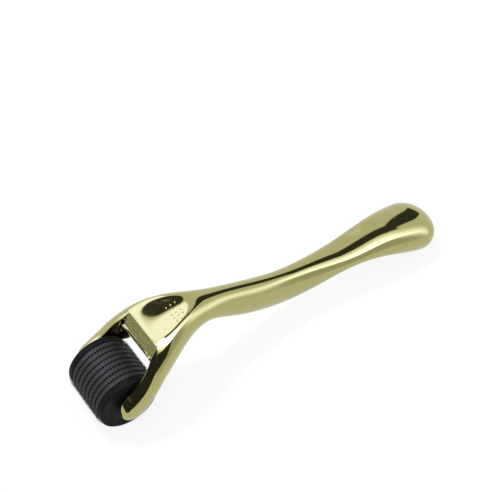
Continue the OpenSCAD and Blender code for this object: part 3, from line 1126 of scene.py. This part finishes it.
@dataclass(frozen=True)
class Finish:
    """A finish: two near shades, roughness with handling marks, a surface height and worn edges."""

    name: str
    shade_a: tuple
    shade_b: tuple
    worn_shade: tuple
    drift_scale: float = 60.0
    clean: float = 0.3
    marked: float = 0.4
    marks_scale: float = 90.0
    wear_finer: float = 8.0
    swell_scale: float = 120.0
    grain_scale: float = 2500.0
    grain_share: float = 0.5
    height: float = 0.00002
    bump: float = 0.3
    metallic: float = 0.0
    specular: float = 0.5
    specular_tint: tuple = (1.0, 1.0, 1.0)
    coat: float = 0.0
    coat_roughness: float = 0.05
    wear_start: float = 0.52
    wear_full: float = 0.62

    def build(self, effects: Effects) -> bpy.types.Material:
        """Make the material.

        Args:
            effects: the shared node groups.

        Returns:
            The material.
        """
        made = bpy.data.materials.new(self.name)
        made.use_nodes = True
        tree = made.node_tree
        shader = tree.nodes["Principled BSDF"]
        constants = {"Metallic": self.metallic, "Specular IOR Level": self.specular,
                     "Coat Weight": self.coat, "Coat Roughness": self.coat_roughness}
        for socket, value in constants.items():
            shader.inputs[socket].default_value = value
        shader.inputs["Specular Tint"].default_value = (*self.specular_tint, 1)
        drift = self.place(tree, effects.drift, {
            "Shade A": (*self.shade_a, 1), "Shade B": (*self.shade_b, 1), "Scale": self.drift_scale})
        wear = self.place(tree, effects.wear, {
            "Start": self.wear_start, "Full": self.wear_full,
            "Scale": self.marks_scale * self.wear_finer})
        worn = add_node(tree, "ShaderNodeMix", data_type="RGBA")
        worn.inputs["B"].default_value = (*self.worn_shade, 1)
        tree.links.new(wear.outputs["Mask"], worn.inputs["Factor"])
        tree.links.new(drift.outputs["Colour"], worn.inputs["A"])
        tree.links.new(worn.outputs["Result"], shader.inputs["Base Color"])
        marks = self.place(tree, effects.handling, {
            "Clean": self.clean, "Marked": self.marked, "Scale": self.marks_scale})
        tree.links.new(marks.outputs["Roughness"], shader.inputs["Roughness"])
        grain = self.place(tree, effects.grain, {
            "Swell Scale": self.swell_scale, "Grain Scale": self.grain_scale,
            "Grain Share": self.grain_share})
        bump = add_node(tree, "ShaderNodeBump")
        bump.inputs["Strength"].default_value = self.bump
        bump.inputs["Distance"].default_value = self.height
        tree.links.new(grain.outputs["Height"], bump.inputs["Height"])
        tree.links.new(bump.outputs["Normal"], shader.inputs["Normal"])
        return made

    def place(self, tree: bpy.types.NodeTree, group: bpy.types.NodeTree, values: dict) -> bpy.types.Node:
        """Put a shared group in the material with its own values.

        Args:
            tree: the material's nodes.
            group: the shared group.
            values: the value of each of its inputs.

        Returns:
            The group's node.
        """
        node = add_node(tree, "ShaderNodeGroup", node_tree=group)
        for socket, value in values.items():
            node.inputs[socket].default_value = value
        return node


GOLD_PLATE = Finish(
    "gold_plate", shade_a=(0.492, 0.457, 0.172), shade_b=(0.48, 0.445, 0.166), worn_shade=(0.55, 0.52, 0.25),
    clean=0.05, marked=0.1, swell_scale=160, grain_share=0.2, height=0.00001, bump=0.25, metallic=1.0,
    coat=0.5, coat_roughness=0.03, wear_start=0.56, wear_full=0.75)
CAP_PLASTIC = Finish(
    "cap_plastic", shade_a=(0.006, 0.006, 0.007), shade_b=(0.008, 0.008, 0.009),
    worn_shade=(0.02, 0.02, 0.022), clean=0.42, marked=0.52, specular=0.06, specular_tint=(1.0, 0.95, 0.7))
RING_PLASTIC = Finish(
    "ring_plastic", shade_a=(0.022, 0.0205, 0.022), shade_b=(0.027, 0.025, 0.027),
    worn_shade=(0.05, 0.048, 0.05), clean=0.38, marked=0.5, specular=0.35, specular_tint=(1.0, 0.93, 0.66))
NEEDLE_STEEL = Finish(
    "needle_steel", shade_a=(0.02, 0.019, 0.02), shade_b=(0.03, 0.028, 0.03),
    worn_shade=(0.06, 0.06, 0.06), clean=0.3, marked=0.45, metallic=0.5, specular=0.2)
BUSH_PLASTIC = Finish(
    "bush_plastic", shade_a=(0.78, 0.76, 0.68), shade_b=(0.72, 0.7, 0.62), worn_shade=(0.85, 0.84, 0.78),
    clean=0.42, marked=0.55, specular=0.4)


# ---------------------------------------------------------------------------------------------
# The studio
# ---------------------------------------------------------------------------------------------


@dataclass(frozen=True)
class Panel:
    """A softbox or a black card that only reflections see, facing the object from a direction.

    Its sizes are half angles as seen from the object. Its edges fade over a share of the half size.
    """

    name: str
    azimuth: float
    elevation: float
    roll: float
    half_across: float
    half_along: float
    softness: float
    radiance: float
    tint: tuple = (1.0, 1.0, 1.0)

    def build(self, distance: float) -> bpy.types.Object:
        """Make the panel.

        Args:
            distance: how far off it stands.

        Returns:
            The panel.
        """
        a, e, roll = (math.radians(v) for v in (self.azimuth, self.elevation, self.roll))
        out = np.array([math.cos(a) * math.cos(e), math.sin(a) * math.cos(e), math.sin(e)])
        level = np.array([-math.sin(a), math.cos(a), 0])
        upright = np.cross(out, level)
        across = math.cos(roll) * level + math.sin(roll) * upright
        along = math.cos(roll) * upright - math.sin(roll) * level
        half = distance * np.tan(np.radians([self.half_across, self.half_along]))
        corners = np.array([[-1, -1], [1, -1], [1, 1], [-1, 1]])
        points = out * distance + corners[:, :1] * half[0] * across + corners[:, 1:] * half[1] * along
        panel = mesh_object(self.name, points, [[0, 1, 2, 3]])
        chart = panel.data.uv_layers.new(name="span")
        chart.data.foreach_set("uv", corners.astype(float).reshape(-1))
        panel.data.materials.append(self.glow())
        panel.visible_camera = panel.visible_diffuse = panel.visible_shadow = False
        panel.visible_transmission = panel.visible_volume_scatter = False
        return panel

    def glow(self) -> bpy.types.Material:
        """Make its glow: an even light whose edges fade out, smoothly on both axes."""
        made = blank_material(self.name)
        tree = made.node_tree
        chart = add_node(tree, "ShaderNodeUVMap", uv_map="span")
        split = add_node(tree, "ShaderNodeSeparateXYZ")
        tree.links.new(chart.outputs["UV"], split.inputs["Vector"])
        both = add_node(tree, "ShaderNodeMath", operation="MULTIPLY")
        for number, axis in enumerate(("X", "Y")):
            size = add_node(tree, "ShaderNodeMath", operation="ABSOLUTE")
            fade = add_node(tree, "ShaderNodeMapRange", interpolation_type="SMOOTHSTEP")
            fade.inputs["From Min"].default_value = 1.0
            fade.inputs["From Max"].default_value = 1.0 - self.softness
            tree.links.new(split.outputs[axis], size.inputs[0])
            tree.links.new(size.outputs["Value"], fade.inputs["Value"])
            tree.links.new(fade.outputs["Result"], both.inputs[number])
        clear = add_node(tree, "ShaderNodeBsdfTransparent")
        light = add_node(tree, "ShaderNodeEmission")
        light.inputs["Color"].default_value = (*self.tint, 1)
        light.inputs["Strength"].default_value = self.radiance
        mix = add_node(tree, "ShaderNodeMixShader")
        out = add_node(tree, "ShaderNodeOutputMaterial")
        tree.links.new(both.outputs["Value"], mix.inputs["Fac"])
        tree.links.new(clear.outputs["BSDF"], mix.inputs[1])
        tree.links.new(light.outputs["Emission"], mix.inputs[2])
        tree.links.new(mix.outputs["Shader"], out.inputs["Surface"])
        return made


COOL = (0.97, 1.0, 1.5)


@dataclass
class Studio:
    """A white table in an even white room, with softboxes and cards for the plating to reflect."""

    room_radiance: float = 0.83
    seen_radiance: float = 1.0
    table_half: float = 3.0
    table_shade: float = 1.0
    table_reflected: float = 0.82
    table_lift: float = 0.86
    panel_distance: float = 1.2
    panel_spacing: float = 0.01
    key_place: tuple = (-0.2, 0.5, 1.4)
    key_size: float = 0.22
    key_power: float = 9.0
    panels: tuple = (
        Panel("overhead_softbox", -64.1, 51.9, -42.6, 67.1, 38.2, 1.35, 4.4, COOL),
        Panel("far_softbox", 100.5, 32.4, -10.5, 29.1, 29.8, 0.28, 1.9, COOL),
        Panel("rear_softbox", -120.2, 73.3, -113.5, 18.5, 50.9, 0.5, 5.1, COOL),
        Panel("grey_card", -72.7, 32.4, 21.9, 43.1, 50.2, 0.8, 0.56),
        Panel("long_black_card", 51.3, 72.3, 32.0, 34.0, 12.5, 0.15, 0.05),
        Panel("low_black_card", 24.6, 37.2, 13.0, 9.5, 32.0, 0.15, 0.05),
        Panel("near_black_card", -107.5, 38.6, -7.5, 35.0, 15.5, 0.2, 0.03),
        Panel("front_black_card", -168.0, 34.0, 0.0, 40.0, 15.0, 0.2, 0.03),
    )

    def build(self) -> None:
        """Build the room, the table, the panels and the light."""
        bpy.context.scene.view_settings.view_transform = "Standard"
        self.room()
        self.table()
        for number, panel in enumerate(self.panels):
            panel.build(self.panel_distance - number * self.panel_spacing)
        data = bpy.data.lights.new("key", "AREA")
        data.size, data.energy = self.key_size, self.key_power
        lamp = bpy.data.objects.new("key", data)
        lamp.location = self.key_place
        lamp.rotation_euler = (-Vector(self.key_place)).to_track_quat("-Z", "Y").to_euler()
        lamp.visible_glossy = False
        bpy.context.scene.collection.objects.link(lamp)

    def room(self) -> None:
        """Make the room: even light, and white where it is seen past the table."""
        world = bpy.data.worlds.new("room")
        bpy.context.scene.world = world
        world.use_nodes = True
        tree = world.node_tree
        even = tree.nodes["Background"]
        even.inputs["Color"].default_value = (1, 1, 1, 1)
        path = add_node(tree, "ShaderNodeLightPath")
        strength = add_node(tree, "ShaderNodeMapRange")
        strength.inputs["To Min"].default_value = self.room_radiance
        strength.inputs["To Max"].default_value = self.seen_radiance
        tree.links.new(path.outputs["Is Camera Ray"], strength.inputs["Value"])
        tree.links.new(strength.outputs["Result"], even.inputs["Strength"])

    def table(self) -> None:
        """Make the table: matt white, a little greyer in reflections."""
        half = self.table_half
        corners = [[-half, -half, 0], [half, -half, 0], [half, half, 0], [-half, half, 0]]
        top = mesh_object("table_top", np.array(corners), [[0, 1, 2, 3]])
        made = blank_material("table_white")
        tree = made.node_tree
        path = add_node(tree, "ShaderNodeLightPath")
        shade = add_node(tree, "ShaderNodeMapRange")
        shade.inputs["To Min"].default_value = self.table_shade
        shade.inputs["To Max"].default_value = self.table_reflected
        matt = add_node(tree, "ShaderNodeBsdfDiffuse")
        lift = add_node(tree, "ShaderNodeEmission")
        mix = add_node(tree, "ShaderNodeMixShader")
        mix.inputs["Fac"].default_value = self.table_lift
        out = add_node(tree, "ShaderNodeOutputMaterial")
        tree.links.new(path.outputs["Is Glossy Ray"], shade.inputs["Value"])
        tree.links.new(shade.outputs["Result"], matt.inputs["Color"])
        tree.links.new(shade.outputs["Result"], lift.inputs["Color"])
        tree.links.new(matt.outputs["BSDF"], mix.inputs[1])
        tree.links.new(lift.outputs["Emission"], mix.inputs[2])
        tree.links.new(mix.outputs["Shader"], out.inputs["Surface"])
        top.data.materials.append(made)


@dataclass(frozen=True)
class ViewCamera:
    """The camera, set by the direction it looks from and where the roller's middle falls in the frame."""

    azimuth: float = -33.46
    elevation: float = 50.3
    lens: float = 105.4
    sensor: float = 36.0
    distance: float = 0.443
    roll: float = -0.7
    across: float = -0.2707
    above: float = -0.2746
    nearest: float = 0.01
    farthest: float = 20.0

    def build(self, frame: Frame) -> bpy.types.Object:
        """Place the camera so that the axle's middle is `across` and `above` frame widths off centre.

        Args:
            frame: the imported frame, which gives the axle.

        Returns:
            The camera, set as the scene's camera.
        """
        a, e = math.radians(self.azimuth), math.radians(self.elevation)
        back = Vector((math.sin(a) * math.cos(e), -math.cos(a) * math.cos(e), math.sin(e)))
        right = Vector((math.cos(a), math.sin(a), 0))
        right = (Matrix.Rotation(math.radians(self.roll), 3, back) @ right).normalized()
        up = back.cross(right)
        spread = self.sensor / self.lens
        aim = back * -1 + right * (self.across * spread) + up * (self.above * spread)
        data = bpy.data.cameras.new("camera")
        data.lens, data.sensor_width = self.lens, self.sensor
        data.clip_start, data.clip_end = self.nearest, self.farthest
        camera = bpy.data.objects.new("camera", data)
        camera.location = Vector(frame.axle) - aim * self.distance
        camera.rotation_euler = Matrix((right, up, back)).transposed().to_euler()
        bpy.context.scene.collection.objects.link(camera)
        bpy.context.scene.camera = camera
        return camera


def report(pieces: list) -> None:
    """Log each piece with its count of faces."""
    for piece in pieces:
        LOG.info("%s: %d faces", piece.name, len(piece.data.polygons))


def main() -> None:
    """Build every piece, dress it and report it."""
    logging.basicConfig(level=logging.INFO, format="%(message)s")
    frame = Frame.load()
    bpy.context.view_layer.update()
    ViewCamera().build(frame)
    Studio().build()
    effects = Effects.build()
    gold, bush = GOLD_PLATE.build(effects), BUSH_PLASTIC.build(effects)
    report(ForkHandle(frame).build(gold, bush))
    steel, ring, cap = (finish.build(effects) for finish in (NEEDLE_STEEL, RING_PLASTIC, CAP_PLASTIC))
    report(RollerStack(frame).build(steel, ring, cap, bush))


if __name__ == "__main__":
    main()
